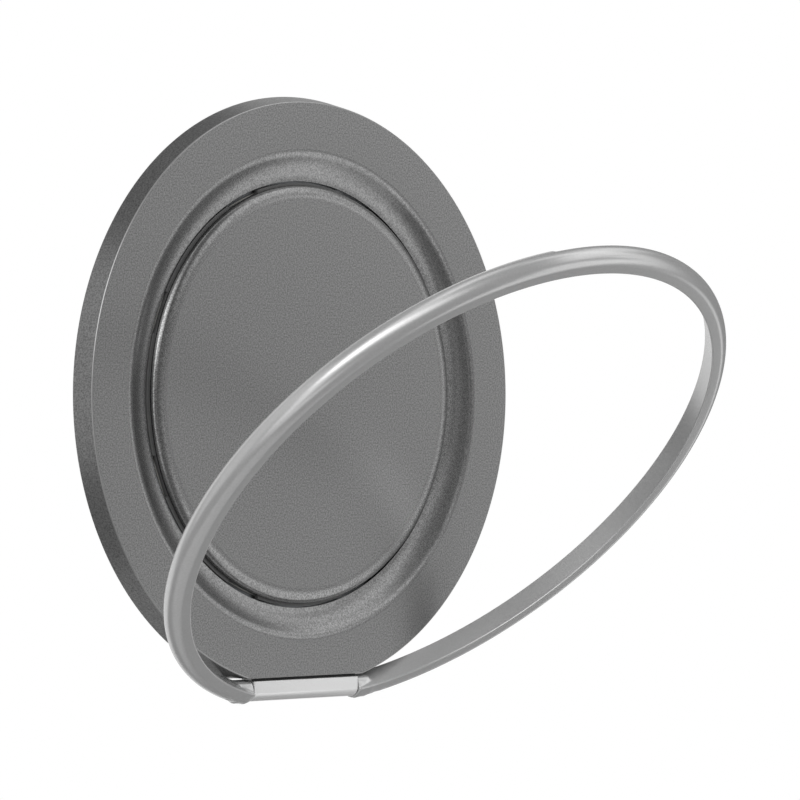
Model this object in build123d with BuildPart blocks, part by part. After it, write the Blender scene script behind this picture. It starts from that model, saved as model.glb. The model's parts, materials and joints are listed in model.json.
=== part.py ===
from build123d import *
import os
from math import cos, radians, sin, tan

os.makedirs("parts", exist_ok=True)

# Base disc, seen from the front
rim_front_radius = 28.0
rim_draft = 0.55
rim_round = 0.12
face_width = 4.5
crown_radius = 0.95
dish_angle = 26
cone_run = 0.63
hollow_radius = 5.87
lip_angle = 5

# Base disc, behind the front face
rim_wall = 2.8
channel_roof = 0.8
channel_width = 2.45
rib_width = 0.8
rib_overhang = 0.12

# Cap, hub and retaining ring
cap_recess = 0.175
cap_gap = 0.39
cap_wall = 0.1
cap_overhang = 0.7
glue_depth = 0.05
glue_margin = 1.0
boss_height = 0.08
flange_depth = 0.42
flange_grip = 1.7
retainer_depth = 0.51
washer_depth = 0.1

# Plate, pad and magnets
plate_gap = 0.18
plate_depth = 0.55
plate_margin = 1.65
pad_depth = 0.4
pad_margin = 0.3
film_margin = 0.4
magnet_count = 16
magnet_angle = 21
yoke_gap = 0.25
yoke_depth = 0.15

# Fits and clearances
bearing_clearance = 0.14
magnet_clearance = 0.3
neck_clearance = 0.3
seat_clearance = 0.05
washer_clearance = 0.04
end_gap = 0.12
pin_clearance = 0.02

# Hub notches and small fasteners
notch_count = 8
notch_angle = 12
notch_depth = 0.4
hub_screw_count = 4
hub_screw_start = 45
hub_screw_inset = 5.6
hub_screw_radius = 0.7
hub_head_radius = 1.4
hub_head_depth = 0.3
hub_floor = 0.3
retainer_screw_count = 8
retainer_screw_radius = 0.4
retainer_head_radius = 0.7
retainer_head_depth = 0.25
retainer_floor = 0.06

# Hinge across the flat at the bottom of the rim
flat_cut = 1.06
flat_chamfer = 0.1
barrel_gap = 0.27
barrel_half = 7.0
barrel_height = 1.92
barrel_depth = 2.2
barrel_recess = 0.05
barrel_round = 0.9
barrel_edge = 0.08
tenon_front = 1.25
tenon_depth = 0.55
tenon_reach = 0.8
dowel_x = 4.5
dowel_radius = 0.22
dowel_lead = 0.35
sleeve_cover = 0.285
sleeve_wall = 0.18
sleeve_length = 3.4
sleeve_inset = 0.1
pin_inset = 0.1
pin_bury = 2.18

# Grip ring, drawn about its hinge and opened to the angle in the picture
open_angle = 45
ring_half_depth = 1.2
ring_gap = 0.34
ring_draft = 0.49
ring_land = 0.81
ring_edge_round = 0.12
knuckle_step = 0.06
knuckle_length = 2.2
knuckle_cone = 1.6
knuckle_tip_radius = 0.15
relief_length = 1.9
relief_run = 3.1
relief_rise = 1.18
relief_start_angle = 10
nail_edge = 0.45
nail_undercut = 0.15
nail_half_angle = 14.5

# Depths back from the front face, each worked out from the piece before it
dish_slope = radians(dish_angle)
lip_slope = radians(lip_angle)
crown_depth = crown_radius * (1 - cos(dish_slope))
cone_depth = crown_depth + cone_run * tan(dish_slope)
dish_depth = cone_depth + hollow_radius * (cos(lip_slope) - cos(dish_slope))
cap_depth = dish_depth - cap_recess
cap_round = cap_depth - cap_wall
hub_front = cap_depth + glue_depth
flange_front = hub_front + boss_height
flange_rear = flange_front + flange_depth
web_rear = flange_rear + washer_depth + washer_clearance
retainer_rear = web_rear + retainer_depth
body_rear = retainer_rear + rib_overhang
plate_front = body_rear + plate_gap
plate_rear = plate_front + plate_depth
pad_front = plate_rear + glue_depth
total_depth = pad_front + pad_depth
yoke_front = channel_roof + yoke_gap
magnet_front = yoke_front + yoke_depth
hub_screw_tip = hub_front + hub_floor
retainer_head_front = retainer_rear - retainer_head_depth
retainer_screw_tip = dish_depth + retainer_floor

# Radii about the base axis, from the rim inwards
rim_rear_radius = rim_front_radius + rim_draft
dish_radius = rim_front_radius - face_width
crown_end_radius = dish_radius - crown_radius * sin(dish_slope)
cone_end_radius = crown_end_radius - cone_run
bore_radius = cone_end_radius - hollow_radius * (sin(dish_slope) - sin(lip_slope))
channel_outer = rim_rear_radius - rim_wall
channel_inner = channel_outer - channel_width
rib_inner = channel_inner - rib_width
magnet_outer = channel_outer - magnet_clearance
magnet_inner = channel_inner + magnet_clearance
cap_radius = bore_radius - cap_gap
glue_radius = cap_radius - glue_margin
boss_radius = cap_radius - cap_overhang
neck_radius = boss_radius - flange_grip
flange_radius = bore_radius - bearing_clearance
notch_reach = 2 * notch_depth
retainer_inner = neck_radius + neck_clearance
retainer_outer = rib_inner - seat_clearance
retainer_screw_circle = (bore_radius + rib_inner) / 2
hub_screw_circle = neck_radius - hub_screw_inset
plate_radius = rim_rear_radius - plate_margin
pad_radius = plate_radius - pad_margin
film_radius = pad_radius - film_margin

# Places of the hinge, from the flat down and from the barrel ends out
flat_y = flat_cut - rim_front_radius
tenon_rear = tenon_front + tenon_depth
dowel_y = flat_y + tenon_reach / 2
dowel_front = tenon_front - dowel_lead
barrel_top = flat_y - barrel_gap
barrel_bottom = barrel_top - barrel_height
barrel_rear = barrel_recess + barrel_depth
hinge_y = (barrel_top + barrel_bottom) / 2
hinge_depth = ring_half_depth
sleeve_radius = barrel_height / 2 - sleeve_cover
sleeve_end = barrel_half - sleeve_inset
sleeve_start = sleeve_end - sleeve_length
pin_radius = sleeve_radius - sleeve_wall - pin_clearance
pin_start = sleeve_start + pin_inset
ring_end = barrel_half + end_gap
knuckle_radius = ring_half_depth - knuckle_step
knuckle_straight = barrel_half + knuckle_length
knuckle_tip_x = knuckle_straight + knuckle_cone
pin_end = ring_end + pin_bury
relief_straight = barrel_half + relief_length
relief_end = relief_straight + relief_run
relief_radius = knuckle_radius + relief_rise

# Radii of the grip ring, which lies round the rim when it is folded
ring_inner_front = rim_front_radius + ring_gap
ring_inner_rear = ring_inner_front + ring_draft
ring_core_radius = ring_inner_front + ring_land
ring_outer = ring_core_radius + ring_half_depth
nail_root_radius = ring_core_radius - nail_undercut
ring_reach = -hinge_y
tilt = radians(open_angle)

# The front plane carries x right, y up and depth as minus z
front = Plane(origin=(0, -total_depth, 0), x_dir=(1, 0, 0), z_dir=(0, -1, 0))
radial = Plane(origin=(0, -total_depth, 0), x_dir=(1, 0, 0), z_dir=(0, 0, -1))
side = Plane(origin=(0, -total_depth, 0), x_dir=(0, 0, 1), z_dir=(1, 0, 0))
spin = Axis((0, -total_depth, 0), (0, -1, 0))
hinge_point = (0, hinge_depth - total_depth, hinge_y)
hinge = Axis(hinge_point, (1, 0, 0))
ring_normal = (0, -cos(tilt), -sin(tilt))
ring_up = (0, -sin(tilt), cos(tilt))
leaf = Plane(origin=hinge_point, x_dir=(1, 0, 0), z_dir=ring_normal)
ring_centre = leaf.from_local_coords((0, ring_reach, 0))
ring_section = Plane(origin=ring_centre, x_dir=(1, 0, 0), z_dir=ring_up)
ring_top = Plane(origin=ring_centre, x_dir=ring_up, z_dir=(1, 0, 0))
ring_axis = Axis(ring_centre, ring_normal)
relief_plane = leaf.rotated((-relief_start_angle, 0, 0))
relief_axis = Axis(hinge_point, (-1, 0, 0))

# Outer body, turned with the dish, the magnet channel and the retainer seat
with BuildPart() as outer_body:
    with BuildSketch(radial):
        with BuildLine():
            face = Line((rim_front_radius, 0), (dish_radius, 0))
            crown = TangentArc(face @ 1, (crown_end_radius, -crown_depth), tangent=face % 1)
            cone = Line(crown @ 1, (cone_end_radius, -cone_depth))
            hollow = TangentArc(cone @ 1, (bore_radius, -dish_depth), tangent=cone % 1)
            Polyline(
                hollow @ 1,
                (bore_radius, -web_rear),
                (rib_inner, -web_rear),
                (rib_inner, -body_rear),
                (channel_inner, -body_rear),
                (channel_inner, -channel_roof),
                (channel_outer, -channel_roof),
                (channel_outer, -body_rear),
                (rim_rear_radius, -body_rear),
                face @ 0,
            )
        section = make_face()
        fillet(section.vertices().sort_by_distance(face @ 0)[0], rim_round)
    revolve(axis=spin)
    with BuildSketch(side):
        with BuildLine():
            Polyline(
                (flat_y + flat_chamfer, 0),
                (flat_y, -flat_chamfer),
                (flat_y, -total_depth),
                (-2 * rim_front_radius, -total_depth),
                (-2 * rim_front_radius, total_depth),
                (flat_y + flat_chamfer, total_depth),
                close=True,
            )
        make_face()
    extrude(amount=rim_front_radius, both=True, mode=Mode.SUBTRACT)
    with BuildSketch(side):
        with Locations((dowel_y, -(tenon_front + tenon_rear) / 2)):
            Rectangle(tenon_reach + 2 * seat_clearance, tenon_rear - tenon_front)
    extrude(amount=barrel_half + seat_clearance, both=True, mode=Mode.SUBTRACT)
    with BuildSketch(front.offset(-body_rear)):
        with Locations((-dowel_x, dowel_y), (dowel_x, dowel_y)):
            Circle(dowel_radius)
    extrude(amount=body_rear - dowel_front, mode=Mode.SUBTRACT)
    with BuildSketch(front.offset(-web_rear)):
        with PolarLocations(retainer_screw_circle, retainer_screw_count):
            Circle(retainer_screw_radius)
    extrude(amount=web_rear - retainer_screw_tip, mode=Mode.SUBTRACT)
outer_body.part.label = "outer_body"
export_step(outer_body.part, "parts/outer_body.step")

# Centre cap with a rounded front edge
with BuildPart() as centre_cap:
    with BuildSketch(front.offset(-cap_depth)):
        Circle(cap_radius)
    extrude(amount=cap_depth)
    fillet(centre_cap.faces().sort_by(spin)[-1].edges(), cap_round)
centre_cap.part.label = "centre_cap"
export_step(centre_cap.part, "parts/centre_cap.step")

# Adhesive film that holds the cap on the hub
with BuildPart() as cap_adhesive:
    with BuildSketch(front.offset(-hub_front)):
        Circle(glue_radius)
    extrude(amount=glue_depth)
cap_adhesive.part.label = "cap_adhesive"
export_step(cap_adhesive.part, "parts/cap_adhesive.step")

# Swivel hub with eight notches in the flange seen through the running gap
with BuildPart() as swivel_hub:
    with BuildSketch(radial):
        with BuildLine():
            Polyline(
                (0, -hub_front),
                (boss_radius, -hub_front),
                (boss_radius, -flange_front),
                (flange_radius, -flange_front),
                (flange_radius, -flange_rear),
                (neck_radius, -flange_rear),
                (neck_radius, -plate_front),
                (0, -plate_front),
                close=True,
            )
        make_face()
    revolve(axis=spin)
    with BuildSketch(front.offset(-flange_rear)):
        with PolarLocations(flange_radius, notch_count, start_angle=180 / notch_count):
            Rectangle(notch_reach, 2 * flange_radius * sin(radians(notch_angle / 2)))
    extrude(amount=flange_rear - flange_front, mode=Mode.SUBTRACT)
    with BuildSketch(front.offset(-plate_front)):
        with PolarLocations(hub_screw_circle, hub_screw_count, start_angle=hub_screw_start):
            Circle(hub_screw_radius)
    extrude(amount=plate_front - hub_screw_tip, mode=Mode.SUBTRACT)
swivel_hub.part.label = "swivel_hub"
export_step(swivel_hub.part, "parts/swivel_hub.step")

# Retaining ring that holds the turning body behind the hub flange
with BuildPart() as retaining_ring:
    with BuildSketch(front.offset(-retainer_rear)):
        Circle(retainer_outer)
        Circle(retainer_inner, mode=Mode.SUBTRACT)
        with PolarLocations(retainer_screw_circle, retainer_screw_count):
            Circle(retainer_screw_radius, mode=Mode.SUBTRACT)
    extrude(amount=retainer_rear - web_rear)
    with BuildSketch(front.offset(-retainer_rear)):
        with PolarLocations(retainer_screw_circle, retainer_screw_count):
            Circle(retainer_head_radius)
    extrude(amount=retainer_rear - retainer_head_front, mode=Mode.SUBTRACT)
retaining_ring.part.label = "retaining_ring"
export_step(retaining_ring.part, "parts/retaining_ring.step")

# Eight screws of the retaining ring
with BuildPart() as retaining_screws:
    with BuildSketch(front.offset(-retainer_rear)):
        with PolarLocations(retainer_screw_circle, retainer_screw_count):
            Circle(retainer_head_radius)
    extrude(amount=retainer_rear - retainer_head_front)
    with BuildSketch(front.offset(-retainer_head_front)):
        with PolarLocations(retainer_screw_circle, retainer_screw_count):
            Circle(retainer_screw_radius)
    extrude(amount=retainer_head_front - retainer_screw_tip)
retaining_screws.part.label = "retaining_screws"
export_step(retaining_screws.part, "parts/retaining_screws.step")

# Slip washer between the hub flange and the retaining ring
with BuildPart() as front_glide_washer:
    with BuildSketch(front.offset(-web_rear + washer_clearance)):
        Circle(flange_radius - neck_clearance)
        Circle(retainer_inner, mode=Mode.SUBTRACT)
    extrude(amount=washer_depth)
front_glide_washer.part.label = "front_glide_washer"
export_step(front_glide_washer.part, "parts/front_glide_washer.step")

# Slip washer between the retaining ring and the rear plate
with BuildPart() as rear_glide_washer:
    with BuildSketch(front.offset(-plate_front)):
        Circle(retainer_outer - neck_clearance)
        Circle(retainer_inner, mode=Mode.SUBTRACT)
    extrude(amount=plate_front - retainer_rear - washer_clearance)
rear_glide_washer.part.label = "rear_glide_washer"
export_step(rear_glide_washer.part, "parts/rear_glide_washer.step")

# Rear plate with counterbores for the hub screws
with BuildPart() as rear_plate:
    with BuildSketch(front.offset(-plate_rear)):
        Circle(plate_radius)
        with PolarLocations(hub_screw_circle, hub_screw_count, start_angle=hub_screw_start):
            Circle(hub_screw_radius, mode=Mode.SUBTRACT)
    extrude(amount=plate_rear - plate_front)
    with BuildSketch(front.offset(-plate_rear)):
        with PolarLocations(hub_screw_circle, hub_screw_count, start_angle=hub_screw_start):
            Circle(hub_head_radius)
    extrude(amount=hub_head_depth, mode=Mode.SUBTRACT)
rear_plate.part.label = "rear_plate"
export_step(rear_plate.part, "parts/rear_plate.step")

# Four screws that hold the hub on the rear plate
with BuildPart() as hub_screws:
    with BuildSketch(front.offset(-plate_rear)):
        with PolarLocations(hub_screw_circle, hub_screw_count, start_angle=hub_screw_start):
            Circle(hub_head_radius)
    extrude(amount=hub_head_depth)
    with BuildSketch(front.offset(-plate_rear + hub_head_depth)):
        with PolarLocations(hub_screw_circle, hub_screw_count, start_angle=hub_screw_start):
            Circle(hub_screw_radius)
    extrude(amount=plate_rear - hub_head_depth - hub_screw_tip)
hub_screws.part.label = "hub_screws"
export_step(hub_screws.part, "parts/hub_screws.step")

# Adhesive film behind the rear plate
with BuildPart() as pad_adhesive:
    with BuildSketch(front.offset(-pad_front)):
        Circle(film_radius)
    extrude(amount=pad_front - plate_rear)
pad_adhesive.part.label = "pad_adhesive"
export_step(pad_adhesive.part, "parts/pad_adhesive.step")

# Soft pad that lies on the phone
with BuildPart() as rear_pad:
    with BuildSketch(front.offset(-total_depth)):
        Circle(pad_radius)
    extrude(amount=total_depth - pad_front)
rear_pad.part.label = "rear_pad"
export_step(rear_pad.part, "parts/rear_pad.step")

# Arc magnets on the rear plate, standing in the channel of the body
with BuildSketch() as magnet_sector:
    with BuildLine():
        outer_arc = CenterArc((0, 0), magnet_outer, 0, magnet_angle)
        inner_arc = CenterArc((0, 0), magnet_inner, 0, magnet_angle)
        Line(outer_arc @ 0, inner_arc @ 0)
        Line(outer_arc @ 1, inner_arc @ 1)
    make_face()
with BuildPart() as ring_magnets:
    with BuildSketch(front.offset(-plate_front)):
        with PolarLocations(0, magnet_count):
            add(magnet_sector.sketch)
    extrude(amount=plate_front - magnet_front)
ring_magnets.part.label = "ring_magnets"
export_step(ring_magnets.part, "parts/ring_magnets.step")

# Steel yoke ring on the front of the magnets
with BuildPart() as magnet_yoke:
    with BuildSketch(front.offset(-magnet_front)):
        Circle(magnet_outer)
        Circle(magnet_inner, mode=Mode.SUBTRACT)
    extrude(amount=magnet_front - yoke_front)
magnet_yoke.part.label = "magnet_yoke"
export_step(magnet_yoke.part, "parts/magnet_yoke.step")

# Hinge barrel with a tenon that enters the flat of the body
with BuildPart() as hinge_barrel:
    with BuildSketch(side):
        with BuildLine():
            Polyline(
                (barrel_top, -barrel_recess),
                (barrel_bottom, -barrel_recess),
                (barrel_bottom, -barrel_rear),
                (barrel_top, -barrel_rear),
                close=True,
            )
        bar = make_face()
        fillet(bar.vertices().sort_by(Axis.X)[0:2], barrel_round)
        fillet(bar.vertices().sort_by(Axis.X)[-2:], barrel_edge)
    extrude(amount=barrel_half, both=True)
    with BuildSketch(side):
        with Locations(((flat_y + tenon_reach + barrel_top) / 2, -(tenon_front + tenon_rear) / 2)):
            Rectangle(flat_y + tenon_reach - barrel_top, tenon_rear - tenon_front)
    extrude(amount=barrel_half, both=True)
    with BuildSketch(side):
        with Locations((hinge_y, -hinge_depth)):
            Circle(sleeve_radius)
    extrude(amount=barrel_half, both=True, mode=Mode.SUBTRACT)
    with BuildSketch(front.offset(-tenon_rear)):
        with Locations((-dowel_x, dowel_y), (dowel_x, dowel_y)):
            Circle(dowel_radius)
    extrude(amount=tenon_rear - tenon_front, mode=Mode.SUBTRACT)
hinge_barrel.part.label = "hinge_barrel"
export_step(hinge_barrel.part, "parts/hinge_barrel.step")

# Two dowels that lock the tenon in the body
with BuildPart() as barrel_dowels:
    with BuildSketch(front.offset(-body_rear)):
        with Locations((-dowel_x, dowel_y), (dowel_x, dowel_y)):
            Circle(dowel_radius)
    extrude(amount=body_rear - dowel_front)
barrel_dowels.part.label = "barrel_dowels"
export_step(barrel_dowels.part, "parts/barrel_dowels.step")

# Friction sleeves pressed into both ends of the barrel
with BuildPart() as friction_sleeves:
    with BuildSketch(side.offset(sleeve_start), side.offset(-sleeve_end)):
        with Locations((hinge_y, -hinge_depth)):
            Circle(sleeve_radius)
            Circle(pin_radius + pin_clearance, mode=Mode.SUBTRACT)
    extrude(amount=sleeve_end - sleeve_start)
friction_sleeves.part.label = "friction_sleeves"
export_step(friction_sleeves.part, "parts/friction_sleeves.step")

# Stub pins pressed into the ring ends, turning in the sleeves
with BuildPart() as hinge_pins:
    with BuildSketch(side.offset(pin_start), side.offset(-pin_end)):
        with Locations((hinge_y, -hinge_depth)):
            Circle(pin_radius)
    extrude(amount=pin_end - pin_start)
hinge_pins.part.label = "hinge_pins"
export_step(hinge_pins.part, "parts/hinge_pins.step")

# Grip ring with a round back, a drafted bore, knuckles at the hinge and a nail recess
with BuildPart() as grip_ring:
    with BuildSketch(ring_section):
        with BuildLine():
            nose = Line((ring_inner_front, -ring_half_depth), (ring_core_radius, -ring_half_depth))
            back = TangentArc(nose @ 1, (ring_core_radius, ring_half_depth), tangent=nose % 1)
            Polyline(back @ 1, (ring_inner_rear, ring_half_depth), nose @ 0)
        band = make_face()
        fillet(band.vertices().sort_by(Axis.X)[0:2], ring_edge_round)
    revolve(axis=ring_axis)
    with BuildSketch(leaf):
        Rectangle(2 * ring_end, ring_reach / 2)
    extrude(amount=2 * ring_half_depth, both=True, mode=Mode.SUBTRACT)
    with BuildSketch(relief_plane):
        with BuildLine():
            Polyline(
                (barrel_half, knuckle_radius),
                (relief_straight, knuckle_radius),
                (relief_end, relief_radius),
                (relief_end, 2 * relief_radius),
                (barrel_half, 2 * relief_radius),
                close=True,
            )
        make_face()
        mirror(about=Plane.YZ)
    revolve(axis=relief_axis, revolution_arc=180, mode=Mode.SUBTRACT)
    with BuildSketch(leaf):
        with BuildLine():
            Polyline(
                (ring_end, 0),
                (ring_end, knuckle_radius),
                (knuckle_straight, knuckle_radius),
                (knuckle_tip_x, knuckle_tip_radius),
                (knuckle_tip_x, 0),
                close=True,
            )
        make_face()
        mirror(about=Plane.YZ)
    revolve(axis=hinge)
    with BuildSketch(side.offset(ring_end), side.offset(-pin_end)):
        with Locations((hinge_y, -hinge_depth)):
            Circle(pin_radius)
    extrude(amount=pin_end - ring_end, mode=Mode.SUBTRACT)
    for turn in (ring_axis, ring_axis.reverse()):
        with BuildSketch(ring_top):
            with BuildLine():
                Polyline(
                    (nail_root_radius, -ring_half_depth),
                    (ring_outer, -nail_edge),
                    (ring_outer, -2 * ring_half_depth),
                    (nail_root_radius, -2 * ring_half_depth),
                    close=True,
                )
            make_face()
        revolve(axis=turn, revolution_arc=nail_half_angle, mode=Mode.SUBTRACT)
grip_ring.part.label = "grip_ring"
export_step(grip_ring.part, "parts/grip_ring.step")
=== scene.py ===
"""Finished surfaces of a phone ring holder, built round its CAD frame and laid out as a Blender add-on."""

import json
from math import asin, cos, degrees, pi, radians, sin

import bmesh
import bpy
import numpy as np
from bpy.props import FloatProperty, FloatVectorProperty, IntProperty, PointerProperty
from mathutils import Euler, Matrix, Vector

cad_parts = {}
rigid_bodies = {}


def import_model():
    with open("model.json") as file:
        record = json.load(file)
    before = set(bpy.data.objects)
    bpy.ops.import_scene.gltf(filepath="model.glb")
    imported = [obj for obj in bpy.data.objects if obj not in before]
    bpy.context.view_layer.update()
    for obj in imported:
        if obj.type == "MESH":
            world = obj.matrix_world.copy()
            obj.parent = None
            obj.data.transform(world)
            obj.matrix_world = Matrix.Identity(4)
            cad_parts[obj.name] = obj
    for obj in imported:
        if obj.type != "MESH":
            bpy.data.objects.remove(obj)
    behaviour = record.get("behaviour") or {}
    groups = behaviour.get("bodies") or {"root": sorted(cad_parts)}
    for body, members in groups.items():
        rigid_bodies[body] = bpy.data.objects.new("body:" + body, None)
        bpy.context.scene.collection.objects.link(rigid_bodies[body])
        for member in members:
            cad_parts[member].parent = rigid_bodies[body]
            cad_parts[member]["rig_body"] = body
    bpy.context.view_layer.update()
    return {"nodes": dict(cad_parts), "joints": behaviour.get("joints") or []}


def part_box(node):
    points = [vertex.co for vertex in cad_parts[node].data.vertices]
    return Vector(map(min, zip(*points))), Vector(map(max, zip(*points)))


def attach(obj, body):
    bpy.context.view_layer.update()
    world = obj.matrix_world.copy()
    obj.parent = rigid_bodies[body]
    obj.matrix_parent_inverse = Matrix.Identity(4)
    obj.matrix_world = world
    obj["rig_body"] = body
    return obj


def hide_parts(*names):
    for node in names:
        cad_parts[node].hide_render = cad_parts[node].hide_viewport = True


bl_info = {
    "name": "Phone ring holder",
    "version": (1, 0, 0),
    "blender": (4, 5, 0),
    "location": "View3D > Sidebar > Ring holder",
    "description": "Builds the finished surfaces of a phone ring holder round its CAD frame",
    "category": "Object",
}

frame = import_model()

MM = 0.001
WELD = 0.0002 * MM
HOLD = 0.02 * MM
POINT = 1e-9

# Places read from the frame: the front face, the hinge and how far the ring is folded out
front_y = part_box("outer_body")[0].y
ring_flip = next(joint for joint in frame["joints"] if joint["name"] == "ring_flip")
hinge_point = np.array(ring_flip["pos_m"])
open_angle = radians(-ring_flip["range_deg"][0])
across = np.array((1.0, 0.0, 0.0))
ring_inward = np.array((0.0, -sin(open_angle), cos(open_angle)))
ring_forward = np.array((0.0, -cos(open_angle), -sin(open_angle)))


def outer_radius(node):
    """Half the width of a round CAD node."""
    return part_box(node)[1].x


def depths(node):
    """Depth of the front and of the rear of a CAD node behind the front face."""
    low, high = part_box(node)
    return low.y - front_y, high.y - front_y


def length(name, description, default):
    """A length property in metres."""
    return FloatProperty(
        name=name,
        description=description,
        default=default,
        min=0.0,
        precision=5,
        unit="LENGTH",
        subtype="DISTANCE",
    )


def angle(name, description, default):
    """An angle property, its default given in degrees."""
    return FloatProperty(
        name=name,
        description=description,
        default=radians(default),
        unit="ROTATION",
        subtype="ANGLE",
    )


def colour(name, description, default):
    """A colour property, linear red, green and blue."""
    return FloatVectorProperty(
        name=name, description=description, default=default, min=0.0, max=1.0, size=3, subtype="COLOR"
    )


class HolderSizes(bpy.types.PropertyGroup):
    """Sizes of the finished surfaces; what the frame gives is read from it."""

    rim_draft: length("Rim draft", "How much wider the base is at its rear edge", 0.55 * MM)
    rim_round: length("Rim round", "Radius of the front edge of the rim", 0.12 * MM)
    face_width: length("Face width", "Width of the flat ring round the dish", 4.5 * MM)
    crown_radius: length("Crown radius", "Radius where the face turns into the dish", 1.9 * MM)
    dish_angle: angle("Dish angle", "Slope of the straight part of the dish", 26)
    cone_run: length("Cone run", "Width of the straight part of the dish", 0.21 * MM)
    hollow_radius: length("Hollow radius", "Radius of the hollow part of the dish", 5.87 * MM)
    lip_angle: angle("Lip angle", "Slope that is left at the lip round the cap", 5)
    rim_wall: length("Rim wall", "Wall between the rim and the magnet channel", 2.8 * MM)
    channel_width: length("Channel width", "Width of the magnet channel", 2.45 * MM)
    channel_roof: length("Channel roof", "Depth of the roof of the magnet channel", 0.8 * MM)
    rib_width: length("Rib width", "Width of the rib inside the channel", 0.8 * MM)
    flat_cut: length("Flat cut", "How far the hinge flat is cut into the front of the rim", 1.06 * MM)
    flat_chamfer: length("Flat chamfer", "Chamfer along the hinge flat", 0.1 * MM)
    cap_round: length("Cap round", "Radius of the front edge of the cap", 0.6 * MM)
    cap_shoulder: length("Cap shoulder", "Radius where the front of the cap starts to fall away", 3.2 * MM)
    cap_fall: angle("Cap fall", "Slope where the shoulder of the cap runs into its round edge", 15)
    cap_band: length("Cap band", "Width of the turned band along the edge of the cap", 1.5 * MM)
    boss_overhang: length("Boss overhang", "How far the cap stands over the boss of the hub", 0.12 * MM)
    flange_depth: length("Flange depth", "Thickness of the hub flange", 0.42 * MM)
    flange_grip: length("Flange grip", "How far the boss of the hub stands over its neck", 2.28 * MM)
    notch_depth: length("Notch depth", "Depth of a hub notch", 0.4 * MM)
    notch_angle: angle("Notch angle", "Width of a hub notch", 12)
    notch_count: IntProperty(name="Notch count", description="Number of hub notches", default=8, min=0)
    barrel_round: length("Barrel round", "Radius of the two lower edges of the barrel", 0.95 * MM)
    barrel_crease: angle("Barrel crease", "Slope where a lower barrel edge leaves the front or rear", 12)
    barrel_edge: length("Barrel edge", "Radius of the upper edges of the barrel", 0.08 * MM)
    barrel_gap: length("Barrel gap", "Gap between the hinge flat and the barrel", 0.27 * MM)
    bore_depth: length("Bore depth", "Depth of the bore in each end of the barrel", 3.5 * MM)
    tenon_front: length("Tenon front", "Depth of the front of the barrel tenon", 0.45 * MM)
    tenon_rear: length("Tenon rear", "Depth of the rear of the barrel tenon", 1.8 * MM)
    ring_gap: length("Ring gap", "Gap between the rim and the folded ring, at the front", 0.24 * MM)
    ring_draft: length("Ring draft", "How much wider the bore of the ring is at its rear", 0.69 * MM)
    ring_half_depth: length("Ring half depth", "Half the depth of the ring, the radius of its outside", 1.2 * MM)
    ring_edge: length("Ring edge", "Radius of the two inner edges of the ring", 0.12 * MM)
    ring_end_gap: length("Ring end gap", "Gap between the barrel and an end of the ring", 0.12 * MM)
    knuckle_radius: length("Knuckle radius", "Radius of the knuckle at an end of the ring", 1.15 * MM)
    knuckle_lift: length("Knuckle lift", "How far the middle of the knuckle lies above the hinge", 0.05 * MM)
    relief_radius: length("Relief radius", "Radius about the hinge of the relief at a knuckle", 1.14 * MM)
    knuckle_straight: length("Knuckle straight", "Length of the straight part of a knuckle", 1.7 * MM)
    knuckle_cone: length("Knuckle cone", "Length of the cone from a knuckle into the ring", 1.6 * MM)
    knuckle_tip: length("Knuckle tip", "Radius at which the cone of a knuckle runs out", 0.15 * MM)
    push_outside: length("Push outside", "Start of the push at a ring end, outside the hinge", 0.2 * MM)
    push_inside: length("Push inside", "Start of the push at the cone's end, inside the hinge", 0.05 * MM)
    knuckle_soft: length("Knuckle soft", "Softness of the push on the bore side", 0.25 * MM)
    knuckle_crisp: length("Knuckle crisp", "Softness of the push on the outside", 0.05 * MM)
    outside_blend: length("Outside blend", "Width over which the outside takes over", 0.6 * MM)
    knuckle_slack: length("Knuckle slack", "How far the ring may stand past a knuckle", 0.4 * MM)
    relief_length: length("Relief length", "Length of the straight part of the relief", 1.9 * MM)
    relief_run: length("Relief run", "Length over which the relief runs out of the ring", 3.1 * MM)
    relief_rise: length("Relief rise", "How far the relief widens over its run", 1.18 * MM)
    nail_edge: length("Nail edge", "Depth of the nail recess behind the ring's middle", 0.45 * MM)
    nail_undercut: length("Nail undercut", "How far the nail recess reaches in from the outside", 0.15 * MM)
    nail_half_angle: angle("Nail half angle", "Half the width of the nail recess", 14.5)
    edge_break: length("Edge break", "Radius of edges with no size of their own", 0.05 * MM)


class HolderFinishes(bpy.types.PropertyGroup):
    """Colours of the finishes, and of the painted edge highlight and the painted gap shade."""

    gunmetal: colour("Gunmetal", "Bead-blasted base and cap", (0.31, 0.31, 0.31))
    hub_grey: colour("Hub grey", "Matt coat of the hub", (0.17, 0.17, 0.17))
    # Painted highlight: lighter metal on the front edges of the rim and the hinge flat, standing for the light
    # line the lamps put along them
    edge_highlight: colour("Edge highlight", "Front edges of the rim and the hinge flat", (0.5, 0.5, 0.5))
    satin_silver: colour("Satin silver", "Grip ring", (0.75, 0.75, 0.75))
    bright_silver: colour("Bright silver", "Hinge barrel", (1.0, 1.0, 1.0))
    inner_steel: colour("Inner steel", "Steel pieces inside the holder", (0.3, 0.31, 0.32))
    # Painted shade: near black on the barrel tenon, so the gap between the hinge flat and the barrel reads as a
    # dark shadow line
    gap_shade: colour("Gap shade", "Tenon of the hinge barrel, seen in the gap", (0.012, 0.012, 0.012))
    zinc: colour("Zinc", "Screws", (0.38, 0.39, 0.4))
    nickel: colour("Nickel", "Magnets", (0.48, 0.48, 0.46))
    slip_film: colour("Slip film", "Glide washers", (0.72, 0.72, 0.69))
    adhesive: colour("Adhesive", "Adhesive films", (0.6, 0.6, 0.57))
    soft_pad: colour("Soft pad", "Pad that lies on the phone", (0.016, 0.016, 0.017))
    floor: colour("Floor", "Pale studio floor", (0.75, 0.75, 0.75))
    backdrop: colour("Backdrop", "White background", (1.0, 1.0, 1.0))


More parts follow.
